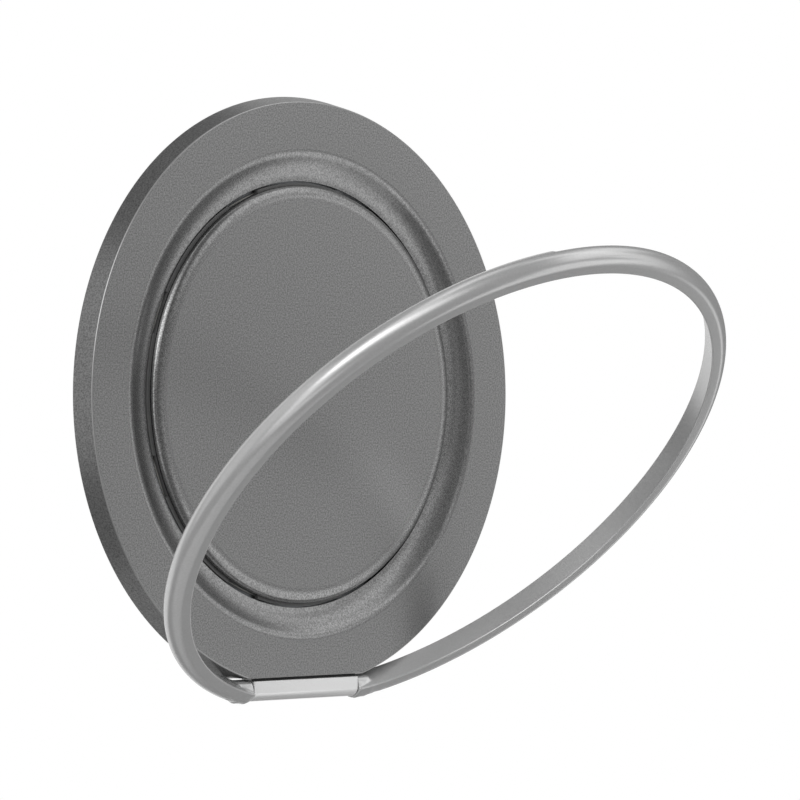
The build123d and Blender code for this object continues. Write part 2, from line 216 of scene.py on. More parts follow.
def sizes():
    """The sizes of this scene."""
    return bpy.context.scene.ring_holder_sizes


def finishes():
    """The finishes of this scene."""
    return bpy.context.scene.ring_holder_finishes


# Surfaces


def rounded(corners, radii, steps=10):
    """Closed outline whose corners are arcs: each arc is tangent to the two sides that meet there.

    A corner with half angle h and radius R starts R / tan(h) before the corner, and its points swing from
    the one tangent point to the other about a centre R / sin(h) along the bisector. A point held just
    outside each end of the arc keeps the shading of the sides flat."""
    corner = np.asarray(corners, float)
    radius = np.asarray(radii, float)[:, None]
    before = np.roll(corner, 1, axis=0) - corner
    after = np.roll(corner, -1, axis=0) - corner
    before /= np.linalg.norm(before, axis=1, keepdims=True)
    after /= np.linalg.norm(after, axis=1, keepdims=True)
    half = np.arccos(np.clip((before * after).sum(1, keepdims=True), -1, 1)) / 2
    run = radius / np.tan(half)
    start = corner + before * run
    end = corner + after * run
    bisector = before + after
    centre = corner + bisector / np.linalg.norm(bisector, axis=1, keepdims=True) * radius / np.sin(half)
    swing = (pi - 2 * half)[:, :, None]
    part = np.linspace(0, 1, steps + 1)[None, :, None]
    from_start = np.sin((1 - part) * swing) * (start - centre)[:, None]
    from_end = np.sin(part * swing) * (end - centre)[:, None]
    arc = centre[:, None] + (from_start + from_end) / np.sin(swing)
    lead = (start + before * HOLD)[:, None]
    tail = (end + after * HOLD)[:, None]
    return np.concatenate((lead, arc, tail), axis=1).reshape(-1, 2)


def turn(outline, turns):
    """Profile of radius and depth carried round the base axis.

    A point at radius r and depth d goes to x = r cos a, z = r sin a and y = front + d at each turn a."""
    around = turns[:, None]
    shape = (len(turns), outline.shape[-2])
    radius = np.broadcast_to(outline[..., 0], shape)
    depth = np.broadcast_to(outline[..., 1], shape)
    return np.stack((radius * np.cos(around), front_y + depth, radius * np.sin(around)), axis=-1)


def full_turn(count):
    """Equal steps round a full turn."""
    return np.linspace(0, 2 * pi, count, endpoint=False)


def skin(name, grid, rows_close, columns_close, sharp=35):
    """Mesh over a grid of points: each cell is a face, and points that meet are welded."""
    rows, columns = grid.shape[:2]
    index = np.arange(rows * columns).reshape(rows, columns)
    if rows_close:
        index = np.concatenate((index, index[:1]), axis=0)
    if columns_close:
        index = np.concatenate((index, index[:, :1]), axis=1)
    cells = np.stack((index[:-1, :-1], index[:-1, 1:], index[1:, 1:], index[1:, :-1]), axis=-1)
    cells = cells.reshape(-1, 4)
    mesh = bpy.data.meshes.new(name)
    mesh.vertices.add(rows * columns)
    mesh.vertices.foreach_set("co", grid.reshape(-1).astype(np.float32))
    mesh.loops.add(cells.size)
    mesh.loops.foreach_set("vertex_index", cells.reshape(-1).astype(np.int32))
    mesh.polygons.add(len(cells))
    mesh.polygons.foreach_set("loop_start", np.arange(0, cells.size, 4, dtype=np.int32))
    mesh.update(calc_edges=True)
    welded = bmesh.new()
    welded.from_mesh(mesh)
    bmesh.ops.remove_doubles(welded, verts=welded.verts, dist=WELD)
    bmesh.ops.recalc_face_normals(welded, faces=welded.faces)
    welded.to_mesh(mesh)
    welded.free()
    mesh.validate()
    mesh.shade_smooth()
    mesh.set_sharp_from_angle(angle=radians(sharp))
    piece = bpy.data.objects.new(name, mesh)
    bpy.context.scene.collection.objects.link(piece)
    return piece


def stand_for(piece, node, material):
    """Lets a finished piece stand for a CAD node, on that node's body and with its slot."""
    piece.data.materials.append(material)
    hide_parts(node)
    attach(piece, frame["nodes"][node]["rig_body"])


def rim_turns():
    """Steps round the base, closer where the rim runs into the hinge flat."""
    s = sizes()
    reach = outer_radius("outer_body")
    corner = degrees(np.arccos((reach - s.rim_draft - s.flat_cut) / reach)) + 1
    straight_down = 270
    even = np.arange(0, 360, 1.0)
    close = np.arange(0, corner, 0.2)
    near = np.concatenate((straight_down - close, straight_down + close))
    return np.radians(np.unique(np.round(np.concatenate((even, near)), 3)))


def base_surface():
    """Turned section of the base, cut by the hinge flat.

    The section runs from the bore over the dish, the face and the drafted wall to the channels at the
    rear. The dish falls from the face over a crown arc, runs straight down its cone and flattens out over a
    hollow arc, each tangent to the next. At each turn no point may lie further out than the flat, whose
    distance from the axis is its height, less the chamfer, over the cosine of the turn from straight
    down."""
    s = sizes()
    rim_rear = outer_radius("outer_body")
    rear = depths("outer_body")[1]
    rim_front = rim_rear - s.rim_draft
    web_rear = depths("retaining_ring")[0]
    dish = rim_front - s.face_width
    fall = np.linspace(0, s.dish_angle, 14)
    crown_in = dish - s.crown_radius * np.sin(fall)
    crown = np.stack((crown_in, s.crown_radius * (1 - np.cos(fall))), axis=1)
    cone_end = crown[-1] + s.cone_run * np.array((-1, np.tan(s.dish_angle)))
    rise = np.linspace(s.dish_angle, s.lip_angle, 24)
    hollow = cone_end + s.hollow_radius * np.stack(
        (np.sin(rise) - sin(s.dish_angle), np.cos(rise) - cos(s.dish_angle)), axis=1
    )
    bore, dish_depth = hollow[-1]
    channel_outer = rim_rear - s.rim_wall
    channel_inner = channel_outer - s.channel_width
    rib_inner = channel_inner - s.rib_width
    sharp = s.edge_break
    shell = rounded(
        (
            (bore, dish_depth),
            (rim_front, 0),
            (rim_rear, rear),
            (channel_outer, rear),
            (channel_outer, s.channel_roof),
            (channel_inner, s.channel_roof),
            (channel_inner, rear),
            (rib_inner, rear),
            (rib_inner, web_rear),
            (bore, web_rear),
        ),
        (sharp, s.rim_round, 2 * sharp, sharp, sharp, sharp, sharp, sharp, sharp, sharp),
    )
    per_corner = len(shell) // 10
    lip = rounded(((bore, web_rear), (bore, dish_depth), hollow[-3]), (sharp, sharp, sharp))
    lip = lip[per_corner : 2 * per_corner]
    edge = rounded(((dish, 0), (rim_front, 0), (rim_rear, rear)), (sharp, s.rim_round, sharp))
    edge = edge[per_corner : 2 * per_corner]
    outline = np.concatenate((lip, hollow[-3::-1], crown[::-1], edge, shell[2 * per_corner :]))
    turns = rim_turns()
    down = np.cos(turns + pi / 2)
    flat_zone = 0.5
    below = np.where(down > flat_zone, down, flat_zone)
    flat = rim_front - s.flat_cut
    radius, depth = outline[:, 0], outline[:, 1]
    limit = (flat - np.clip(s.flat_chamfer - depth, 0, None))[None, :] / below[:, None]
    limit = np.where(down[:, None] > flat_zone, limit, 2 * rim_rear)
    clipped = np.minimum(radius[None, :], limit)
    section = np.stack((clipped, np.broadcast_to(depth, clipped.shape)), axis=-1)
    return turn(section, turns)


def cap_surface():
    """Section of the cap carried round the axis.

    From the flat middle the front falls away over a wide shoulder arc, which runs on tangent into the
    round edge."""
    s = sizes()
    front, rear = depths("centre_cap")
    reach = outer_radius("centre_cap")
    fall = np.linspace(0, s.cap_fall, 12)
    swing = np.linspace(s.cap_fall, pi / 2, 16)
    drop = s.cap_shoulder * (1 - cos(s.cap_fall))
    flat = reach - s.cap_round * (1 - sin(s.cap_fall)) - s.cap_shoulder * sin(s.cap_fall)
    shoulder_out = flat + s.cap_shoulder * np.sin(fall)
    shoulder = np.stack((shoulder_out, front + s.cap_shoulder * (1 - np.cos(fall))), axis=1)
    edge_front = front + drop + s.cap_round * cos(s.cap_fall)
    edge = np.stack(
        (reach - s.cap_round * (1 - np.sin(swing)), edge_front - s.cap_round * np.cos(swing)), axis=1
    )
    middle = np.array(((0, front), (flat - HOLD, front)))
    wall = np.array(((reach, rear - s.edge_break), (reach - s.edge_break, rear), (0, rear)))
    return turn(np.concatenate((middle, shoulder[:-1], edge, wall)), full_turn(480))


def disc_surface(node, front_round, rear_round):
    """Solid disc: a section from the axis over two rounded edges and back to the axis, carried round it."""
    radius = outer_radius(node)
    front, rear = depths(node)
    outline = rounded(
        ((0, front), (radius, front), (radius, rear), (0, rear)),
        (POINT, front_round, rear_round, POINT),
    )
    per_corner = len(outline) // 4
    edge = outline[per_corner : 3 * per_corner]
    return turn(np.concatenate((((0, front),), edge, ((0, rear),))), full_turn(360))


def hub_surface():
    """Stepped hub turned about the axis.

    Wherever the turn falls in a notch, no point lies further out than the notch floor."""
    s = sizes()
    front, rear = depths("swivel_hub")
    flange = outer_radius("swivel_hub")
    cap = outer_radius("centre_cap")
    boss = cap - s.boss_overhang
    neck = boss - s.flange_grip
    flange_rear = depths("front_glide_washer")[0]
    flange_front = flange_rear - s.flange_depth
    floor = flange - s.notch_depth
    tiny = s.edge_break / 2
    outline = rounded(
        (
            (boss, front),
            (boss, flange_front),
            (flange, flange_front),
            (flange, flange_rear),
            (neck, flange_rear),
            (neck, rear),
            (0, rear),
            (0, front),
        ),
        (tiny, tiny, tiny, tiny, tiny, tiny, POINT, POINT),
        steps=4,
    )
    outline = outline[: 6 * len(outline) // 8]
    outline = np.concatenate((((0, front),), outline, ((0, rear),)))
    pitch = 2 * pi / s.notch_count
    half = s.notch_angle / 2
    wall = radians(0.02)
    middles = (np.arange(s.notch_count) + 0.5)[:, None] * pitch
    edges = middles + np.array((-half - wall, -half, half, half + wall))
    turns = np.unique(np.concatenate((full_turn(360), edges.reshape(-1))))
    off = np.abs((turns % pitch) - pitch / 2)
    reach = np.where(off <= half + wall / 2, floor / np.cos(np.minimum(off, half)), flange)
    radius = np.minimum(outline[None, :, 0], reach[:, None])
    return turn(np.stack((radius, np.broadcast_to(outline[:, 1], radius.shape)), axis=-1), turns)


def barrel_top():
    """Height of the top of the barrel, under the hinge flat."""
    s = sizes()
    return s.rim_draft + s.flat_cut - s.barrel_gap - outer_radius("outer_body")


def barrel_surface():
    """Section of the barrel and its tenon carried along the hinge.

    Near each end the section shrinks towards the hinge along a quarter circle, which breaks the edge. The
    end face then runs in to the bore, and the bore runs back to its bottom, which is closed on the hinge
    line."""
    s = sizes()
    low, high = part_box("hinge_barrel")
    flat = outer_radius("outer_body") - s.rim_draft - s.flat_cut
    top = barrel_top()
    front, rear = depths("hinge_barrel")
    bore = outer_size("friction_sleeves", 2) / 2
    tiny = s.edge_break / 2
    outline = rounded(
        (
            (top, front),
            (low.z, front),
            (low.z, rear),
            (top, rear),
            (top, s.tenon_rear),
            (-flat, s.tenon_rear),
            (-flat, s.tenon_front),
            (top, s.tenon_front),
        ),
        (s.barrel_edge, tiny, tiny, s.barrel_edge, tiny, tiny, tiny, tiny),
        steps=14,
    )
    per_corner = len(outline) // 8
    swing = np.linspace(s.barrel_crease, pi / 2, per_corner - 1)
    drop = low.z + s.barrel_round * (1 - np.sin(swing))
    inset = s.barrel_round * (cos(s.barrel_crease) - np.cos(swing))
    drop = np.concatenate((drop[:1] + s.edge_break / 2, drop))
    inset = np.concatenate((np.zeros(1), inset))
    outline[per_corner : 2 * per_corner] = np.stack((drop, front + inset), axis=1)
    outline[2 * per_corner : 3 * per_corner] = np.stack((drop, rear - inset), axis=1)[::-1]
    middle = np.array((hinge_point[2], hinge_point[1] - front_y))
    spoke = outline - middle
    size = np.linalg.norm(spoke, axis=1, keepdims=True)
    swing = np.linspace(0, pi / 2, 6)
    inset = s.edge_break * (1 - np.sin(swing))
    lip = high.x - s.edge_break * (1 - np.cos(swing))
    bottom = high.x - s.bore_depth
    reach = np.concatenate((np.zeros(1), np.full(2, 1.0), np.full(len(swing), 2.0)))
    place = np.concatenate(((bottom, bottom, high.x), lip))
    shrink = np.concatenate((np.zeros(3), inset))
    radius = np.where(
        (reach == 0)[:, None],
        0.0,
        np.where((reach == 1)[:, None], bore, size[:, 0][None, :] - shrink[:, None]),
    )
    points = middle + spoke / size * radius[..., None]
    along = np.broadcast_to(place[:, None], radius.shape)
    half = np.stack((along, front_y + points[..., 1], points[..., 0]), axis=-1)
    return np.concatenate((half * (-1, 1, 1), half[::-1]))


def outer_size(node, way):
    """Size of a CAD node along one of the three axes."""
    low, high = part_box(node)
    return high[way] - low[way]


def ring_section():
    """Section of the ring as radius and forward offset: a half round outside and a drafted bore."""
    s = sizes()
    rim_front = outer_radius("outer_body") - s.rim_draft
    inner = rim_front + s.ring_gap
    half = s.ring_half_depth
    core = outer_radius("grip_ring") - half
    swing = np.linspace(pi / 2, -pi / 2, 60)
    back = np.stack((core + half * np.cos(swing), half * np.sin(swing)), axis=1)
    edges = rounded(
        ((core, -half), (inner + s.ring_draft, -half), (inner, half), (core, half)),
        (s.edge_break, s.ring_edge, s.ring_edge, s.edge_break),
        steps=8,
    )
    per_corner = len(edges) // 4
    rear_edge = edges[per_corner : 2 * per_corner]
    front_edge = edges[2 * per_corner : 3 * per_corner]
    fill = np.linspace(0, 1, 34)[1:-1, None]
    bore = rear_edge[-1] * (1 - fill) + front_edge[0] * fill
    return np.concatenate((back, rear_edge, bore, front_edge)), core


def ring_surface():
    """Ring section carried round the ring centre from one end to the other, with a knuckle at each end.

    Close to the hinge each station is a plane across the hinge line, x = constant; further round it turns
    into a plane through the ring axis. A point of the section at radius r stands at x = r sin a and reaches
    t = c - r cos a from the hinge towards the ring centre. In each end the points are pushed out from near
    the hinge to a cylinder and then a cone, with a soft maximum, and on the rear side they are held within
    the relief that lets the ring turn past the base. At the top the points behind the line of the nail
    recess are lifted onto it."""
    s = sizes()
    section, core = ring_section()
    radius, forward = section[:, 0], section[:, 1]
    centre = -hinge_point[2]
    end = outer_size("hinge_barrel", 0) / 2 + s.ring_end_gap
    straight = outer_size("hinge_barrel", 0) / 2 + s.knuckle_straight
    cone_end = straight + s.knuckle_cone
    relief_start = outer_size("hinge_barrel", 0) / 2 + s.relief_length
    relief_end = relief_start + s.relief_run

    past_relief = 0.4 * MM
    station_step = 0.055 * MM
    square_up = radians(18)
    nail_fade = radians(0.5)
    relief_from, relief_to = 10, 190
    end_shrink = 0.05

    near = np.arange(end, relief_end + past_relief, station_step)
    far = np.radians(np.arange(np.degrees(asin(near[-1] / core)) + 0.6, 180, 1.0))
    nail = pi - s.nail_half_angle + np.radians(np.linspace(-0.8, 0.8, 25))
    far = np.unique(np.concatenate((far, nail, (pi,))))
    stand = np.concatenate((np.arcsin(near / core), far))
    square = np.clip((stand - np.arcsin(near[-1] / core)) / square_up, 0, 1)[:, None]
    square = square * square * (3 - 2 * square)
    planar = np.arcsin(np.minimum(core * np.sin(stand)[:, None] / radius[None, :], 1))
    planar = np.where(stand[:, None] > pi / 2, stand[:, None], planar)
    swing = (1 - square) * planar + square * stand[:, None]
    x = radius * np.sin(swing)
    t = centre - radius * np.cos(swing)
    m = np.broadcast_to(forward, x.shape).copy()

    hub = np.interp(x, (end, cone_end), (-s.push_outside, s.push_inside))
    knuckle = np.interp(x, (straight, cone_end), (s.knuckle_radius, s.knuckle_tip))
    lift = s.knuckle_lift * np.array((ring_inward[2], ring_forward[2]))
    away = np.hypot(t - hub, m)
    offset = ((t - hub) * (hub - lift[0]) - m * lift[1]) / away
    square_reach = offset**2 - (hub - lift[0]) ** 2 - lift[1] ** 2 + knuckle**2
    reach = np.sqrt(np.clip(square_reach, 0, None)) - offset
    outside = np.clip(0.5 - t / s.outside_blend, 0, 1)
    soft = s.knuckle_soft + (s.knuckle_crisp - s.knuckle_soft) * outside
    pushed = 0.5 * (away + reach + np.sqrt((away - reach) ** 2 + soft**2))
    slack = np.interp(x, (end, straight), (0, s.knuckle_slack))
    pushed += (np.minimum(pushed, reach + slack) - pushed) * outside
    grow = np.where(x < cone_end, pushed / away, 1.0)
    t, m = hub + (t - hub) * grow, m * grow

    keep = np.interp(x, (relief_start, relief_end), (s.relief_radius, s.relief_radius + s.relief_rise))
    bearing = np.degrees(np.arctan2(-m, t)) % 360
    away = np.hypot(t, m)
    behind = (bearing > relief_from) & (bearing < relief_to)
    relieved = (x < relief_end) & behind & (away > keep)
    hold = np.where(relieved, keep / away, 1.0)
    t, m = t * hold, m * hold

    line = -s.ring_half_depth + (radius - core + s.nail_undercut) * (
        (s.ring_half_depth - s.nail_edge) / (s.ring_half_depth + s.nail_undercut)
    )
    lifted = np.where((radius > core - s.nail_undercut)[None, :], np.maximum(m, line[None, :]), m)
    inside = np.clip((stand - pi + s.nail_half_angle) / nail_fade + 0.5, 0, 1)[:, None]
    m = m + (lifted - m) * inside

    break_edge = np.linspace(0, pi / 2, 5)[:-1]
    shrink = 1 - end_shrink * (1 - np.sin(break_edge))[:, None]
    slide = s.edge_break * (1 - np.cos(break_edge))[:, None]
    end_rows = np.broadcast_to(end + slide, (len(break_edge), x.shape[1]))
    end_x = np.concatenate((np.full((1, x.shape[1]), end), end_rows))
    end_t = np.concatenate((np.zeros((1, x.shape[1])), t[0] * shrink))
    end_m = np.concatenate((np.zeros((1, x.shape[1])), m[0] * shrink))
    x = np.concatenate((end_x, x[1:]))
    t = np.concatenate((end_t, t[1:]))
    m = np.concatenate((end_m, m[1:]))

    half = x[..., None] * across + t[..., None] * ring_inward + m[..., None] * ring_forward
    return hinge_point + np.concatenate((half, (half * (-1, 1, 1))[-2::-1]))


# Finishes


def new_material(name):
    """Empty node material with its shader and its texture coordinates."""
    material = bpy.data.materials.new(name)
    material.use_nodes = True
    nodes = material.node_tree.nodes
    shader = nodes["Principled BSDF"]
    place = nodes.new("ShaderNodeTexCoord")
    return material, nodes, material.node_tree.links, shader, place.outputs["Object"]


def math_node(nodes, links, operation, *values):
    """One step of arithmetic on sockets and plain numbers."""
    step = nodes.new("ShaderNodeMath")
    step.operation = operation
    for value, socket in zip(values, step.inputs):
        if isinstance(value, (int, float)):
            socket.default_value = value
        else:
            links.new(value, socket)
    return step.outputs["Value"]


def soft_edge(nodes, links, distance, half, soft):
    """1 inside a panel and 0 outside it, with a smooth step of the given width across its edge."""
    edge = nodes.new("ShaderNodeMapRange")
    edge.interpolation_type = "SMOOTHSTEP"
    edge.inputs["From Min"].default_value = half + soft / 2
    edge.inputs["From Max"].default_value = half - soft / 2
    links.new(distance, edge.inputs["Value"])
    return edge.outputs["Result"]


def turned_band(material, inner, outer, smooth):
    """Makes a material smoother in a band round the base axis, where the metal is turned."""
    band_fade = 0.2 * MM
    nodes, links = material.node_tree.nodes, material.node_tree.links
    rough = nodes["Principled BSDF"].inputs["Roughness"]
    blasted = rough.default_value
    flat = nodes.new("ShaderNodeVectorMath")
    flat.operation = "MULTIPLY"
    flat.inputs[1].default_value = (1, 0, 1)
    links.new(nodes["Texture Coordinate"].outputs["Object"], flat.inputs[0])
    radius = nodes.new("ShaderNodeVectorMath")
    radius.operation = "LENGTH"
    links.new(flat.outputs["Vector"], radius.inputs[0])
    off = math_node(nodes, links, "SUBTRACT", radius.outputs["Value"], (inner + outer) / 2)
    off = math_node(nodes, links, "ABSOLUTE", off)
    inside = soft_edge(nodes, links, off, (outer - inner) / 2, band_fade)
    links.new(math_node(nodes, links, "MULTIPLY_ADD", inside, smooth - blasted, blasted), rough)


def grained(name, tint, spread, grain, metallic, roughness, height):
    """Fine even grain: one noise shifts the colour up and down and raises a low bump."""
    material, nodes, links, shader, place = new_material(name)
    shader.inputs["Metallic"].default_value = metallic
    shader.inputs["Roughness"].default_value = roughness
    noise = nodes.new("ShaderNodeTexNoise")
    noise.inputs["Scale"].default_value = 1 / grain
    noise.inputs["Detail"].default_value = 2.0
    links.new(place, noise.inputs["Vector"])
    ramp = nodes.new("ShaderNodeValToRGB")
    ramp.color_ramp.elements[0].position = 0.3
    ramp.color_ramp.elements[1].position = 0.7
    ramp.color_ramp.elements[0].color = (*(c * (1 - spread) for c in tint), 1)
    ramp.color_ramp.elements[1].color = (*(c * (1 + spread) for c in tint), 1)
    links.new(noise.outputs["Fac"], ramp.inputs["Fac"])
    links.new(ramp.outputs["Color"], shader.inputs["Base Color"])
    bump = nodes.new("ShaderNodeBump")
    bump.inputs["Strength"].default_value = 1.0
    bump.inputs["Distance"].default_value = height
    links.new(noise.outputs["Fac"], bump.inputs["Height"])
    links.new(bump.outputs["Normal"], shader.inputs["Normal"])
    return material


class RINGHOLDER_OT_base_disc(bpy.types.Operator):
    """Turned base with its dish and the flat for the hinge"""

    bl_idname = "ring_holder.base_disc"
    bl_label = "Base disc"

    def execute(self, context):
        piece = skin("base_disc", base_surface(), True, True)
        f = finishes()
        s = sizes()
        rim = outer_radius("outer_body") - s.rim_draft
        metal = grained(
            "Gunmetal",
            f.gunmetal,
            spread=0.34,
            grain=0.15 * MM,
            metallic=1.0,
            roughness=0.3,
            height=0.002 * MM,
        )
        band_start = outer_radius("centre_cap") - s.cap_band
        turned_band(metal, band_start, rim - s.face_width, smooth=0.22)
        stand_for(piece, "outer_body", metal)
        # Painted highlight: the rim round and the flat chamfer get a lighter metal that paints the light line
        # along the front edges
        highlight_metal = grained(
            "Edge highlight",
            f.edge_highlight,
            spread=0.05,
            grain=0.1 * MM,
            metallic=1.0,
            roughness=0.3,
            height=0.0005 * MM,
        )
        piece.data.materials.append(highlight_metal)
        centres = np.empty(3 * len(piece.data.polygons), np.float32)
        piece.data.polygons.foreach_get("center", centres)
        x, y, z = centres.reshape(-1, 3).T
        depth = y - front_y
        on_rim = np.hypot(x, z) > rim - s.rim_round
        on_flat = z < s.flat_cut + s.flat_chamfer - rim
        edge_start = 0.01 * s.rim_round
        edge_stop = 0.9 * s.rim_round
        # Faces that carry the painted edge highlight: just behind the front, on the rim round or the flat
        # chamfer
        cut = (depth > edge_start) & (depth < edge_stop) & (on_rim | on_flat)
        piece.data.polygons.foreach_set("material_index", cut.astype(np.int32))
        piece.data.update()
        return {"FINISHED"}


class RINGHOLDER_OT_centre_cap(bpy.types.Operator):
    """Cap in the middle of the base"""

    bl_idname = "ring_holder.centre_cap"
    bl_label = "Centre cap"

    def execute(self, context):
        piece = skin("cap", cap_surface(), True, False)
        stand_for(piece, "centre_cap", bpy.data.materials["Gunmetal"])
        return {"FINISHED"}


class RINGHOLDER_OT_swivel_hub(bpy.types.Operator):
    """Notched hub under the cap"""

    bl_idname = "ring_holder.swivel_hub"
    bl_label = "Swivel hub"

    def execute(self, context):
        piece = skin("hub", hub_surface(), True, False)
        matt = grained(
            "Hub grey",
            finishes().hub_grey,
            spread=0.1,
            grain=0.15 * MM,
            metallic=0.0,
            roughness=0.6,
            height=0.002 * MM,
        )
        stand_for(piece, "swivel_hub", matt)
        return {"FINISHED"}


class RINGHOLDER_OT_hinge_barrel(bpy.types.Operator):
    """Barrel across the flat of the base"""

    bl_idname = "ring_holder.hinge_barrel"
    bl_label = "Hinge barrel"

    def execute(self, context):
        f = finishes()
        piece = skin("barrel", barrel_surface(), False, True)
        bright = grained(
            "Bright silver",
            f.bright_silver,
            spread=0.02,
            grain=0.2 * MM,
            metallic=0.9,
            roughness=0.4,
            height=0.0001 * MM,
        )
        stand_for(piece, "hinge_barrel", bright)
        # Painted shade: the tenon faces seen in the gap get a near black matt finish that stands for the shadow
        # inside the gap
        gap_shade_paint = grained(
            "Gap shade",
            f.gap_shade,
            spread=0.2,
            grain=0.1 * MM,
            metallic=0.0,
            roughness=0.6,
            height=0.001 * MM,
        )
        piece.data.materials.append(gap_shade_paint)
        centres = np.empty(3 * len(piece.data.polygons), np.float32)
        piece.data.polygons.foreach_get("center", centres)
        # Tenon faces, above the top of the barrel, carry the painted gap shade
        on_tenon = centres[2::3] > barrel_top() + sizes().edge_break / 4
        piece.data.polygons.foreach_set("material_index", on_tenon.astype(np.int32))
        piece.data.update()
        return {"FINISHED"}


class RINGHOLDER_OT_grip_ring(bpy.types.Operator):
    """Ring that folds out of the base"""

    bl_idname = "ring_holder.grip_ring"
    bl_label = "Grip ring"

    def execute(self, context):
        piece = skin("ring", ring_surface(), False, True)
        silver = grained(
            "Satin silver",
            finishes().satin_silver,
            spread=0.03,
            grain=0.2 * MM,
            metallic=0.6,
            roughness=0.24,
            height=0.0005 * MM,
        )
        stand_for(piece, "grip_ring", silver)
        return {"FINISHED"}


class RINGHOLDER_OT_rear_discs(bpy.types.Operator):
    """Rear plate and the soft pad behind it"""

    bl_idname = "ring_holder.rear_discs"
    bl_label = "Rear discs"

    def execute(self, context):
        s = sizes()
        steel = grained(
            "Inner steel",
            finishes().inner_steel,
            spread=0.06,
            grain=0.3 * MM,
            metallic=1.0,
            roughness=0.4,
            height=0.002 * MM,
        )
        plate = skin("plate", disc_surface("rear_plate", s.edge_break, 2 * s.edge_break), True, False)
        stand_for(plate, "rear_plate", steel)
        pad = skin("pad", disc_surface("rear_pad", s.edge_break, 3 * s.edge_break), True, False)
        soft = grained(
            "Soft pad",
            finishes().soft_pad,
            spread=0.3,
            grain=0.12 * MM,
            metallic=0.0,
            roughness=0.75,
            height=0.01 * MM,
        )
        stand_for(pad, "rear_pad", soft)
        return {"FINISHED"}


class RINGHOLDER_OT_inner_pieces(bpy.types.Operator):
    """Finishes of the CAD pieces that stay as they are, inside the holder"""

    bl_idname = "ring_holder.inner_pieces"
    bl_label = "Inner pieces"

    def execute(self, context):
        f = finishes()
        steel = bpy.data.materials["Inner steel"]
        zinc = grained(
            "Zinc",
            f.zinc,
            spread=0.06,
            grain=0.1 * MM,
            metallic=1.0,
            roughness=0.35,
            height=0.001 * MM,
        )
        nickel = grained(
            "Nickel",
            f.nickel,
            spread=0.03,
            grain=0.2 * MM,
            metallic=1.0,
            roughness=0.2,
            height=0.0005 * MM,
        )
        film = grained(
            "Slip film",
            f.slip_film,
            spread=0.04,
            grain=0.2 * MM,
            metallic=0.0,
            roughness=0.5,
            height=0.002 * MM,
        )
        glue = grained(
            "Adhesive",
            f.adhesive,
            spread=0.05,
            grain=0.3 * MM,
            metallic=0.0,
            roughness=0.4,
            height=0.003 * MM,
        )
        worn = {
            "retaining_ring": steel,
            "magnet_yoke": steel,
            "barrel_dowels": steel,
            "friction_sleeves": steel,
            "hinge_pins": steel,
            "retaining_screws": zinc,
            "hub_screws": zinc,
            "ring_magnets": nickel,
            "front_glide_washer": film,
            "rear_glide_washer": film,
            "cap_adhesive": glue,
            "pad_adhesive": glue,
        }
        for node, material in worn.items():
            for slot in frame["nodes"][node].material_slots:
                slot.material = material
        return {"FINISHED"}


def toward(azimuth, elevation):
    """Unit vector from the object, by its azimuth and its elevation.

    The azimuth runs from straight in front towards the right, the elevation from the level upwards."""
    a, e = radians(azimuth), radians(elevation)
    return Vector((sin(a) * cos(e), -cos(a) * cos(e), sin(e)))


def soft_box(name, azimuth, elevation, width, height, radiance, shape="RECTANGLE"):
    """Area lamp that faces the object from one metre; its power gives the stated radiance over its face."""
    lamp = bpy.data.lights.new(name, "AREA")
    lamp.shape = shape
    lamp.size, lamp.size_y = width, height
    fill = pi / 4 if shape == "ELLIPSE" else 1.0
    lamp.energy = radiance * pi * width * height * fill
    box = bpy.data.objects.new(name, lamp)
    box.location = toward(azimuth, elevation)
    box.rotation_euler = (-box.location).to_track_quat("-Z", "Y").to_euler()
    box.visible_camera = False
    bpy.context.scene.collection.objects.link(box)


# Camera, from its fit to the view of the holder
CAMERA_LENS = 244.775
CAMERA_PLACE = (-368.814 * MM, -370.388 * MM, -0.069 * MM)
CAMERA_TILT = 90 - 0.0512
CAMERA_TURN = -46.1128

# Floor and tent, in metres, and the glow of the tent between its panels
FLOOR_HALF = 0.6
FLOOR_HEIGHT = -1.0
TENT_RADIUS = 1.6
TENT_GLOW = 0.242

# Soft panels of the tent: azimuth and elevation of the middle, half width, half height, softness, radiance
TENT_PANELS = {
    "left sail": (-64, 52, 29, 36, 20, 0.52),
    "left strip": (-72, 12, 12, 33, 26, 0.84),
    "left front": (-32, 28, 14, 16, 26, 0.91),
    "left low": (-50, -28, 16, 8, 4, 0.49),
    "right spot": (46, 8, 4, 4, 4, 0.84),
    "right strip": (56, 0, 5, 32, 26, 0.98),
    "right high": (70, 45, 24, 11, 18, 0.73),
    "right low": (96, -30, 19, 4, 14, 1.0),
    "front high": (32, 26, 6, 18, 12, 0.93),
    "front low": (32, -8, 10, 8, 6, 0.32),
    "right back": (166, 4, 36, 36, 16, 0.56),
    "left back": (-122, 12, 24, 34, 8, 0.3),
    "roof": (32, 104, 170, 26, 27, 0.66),
}


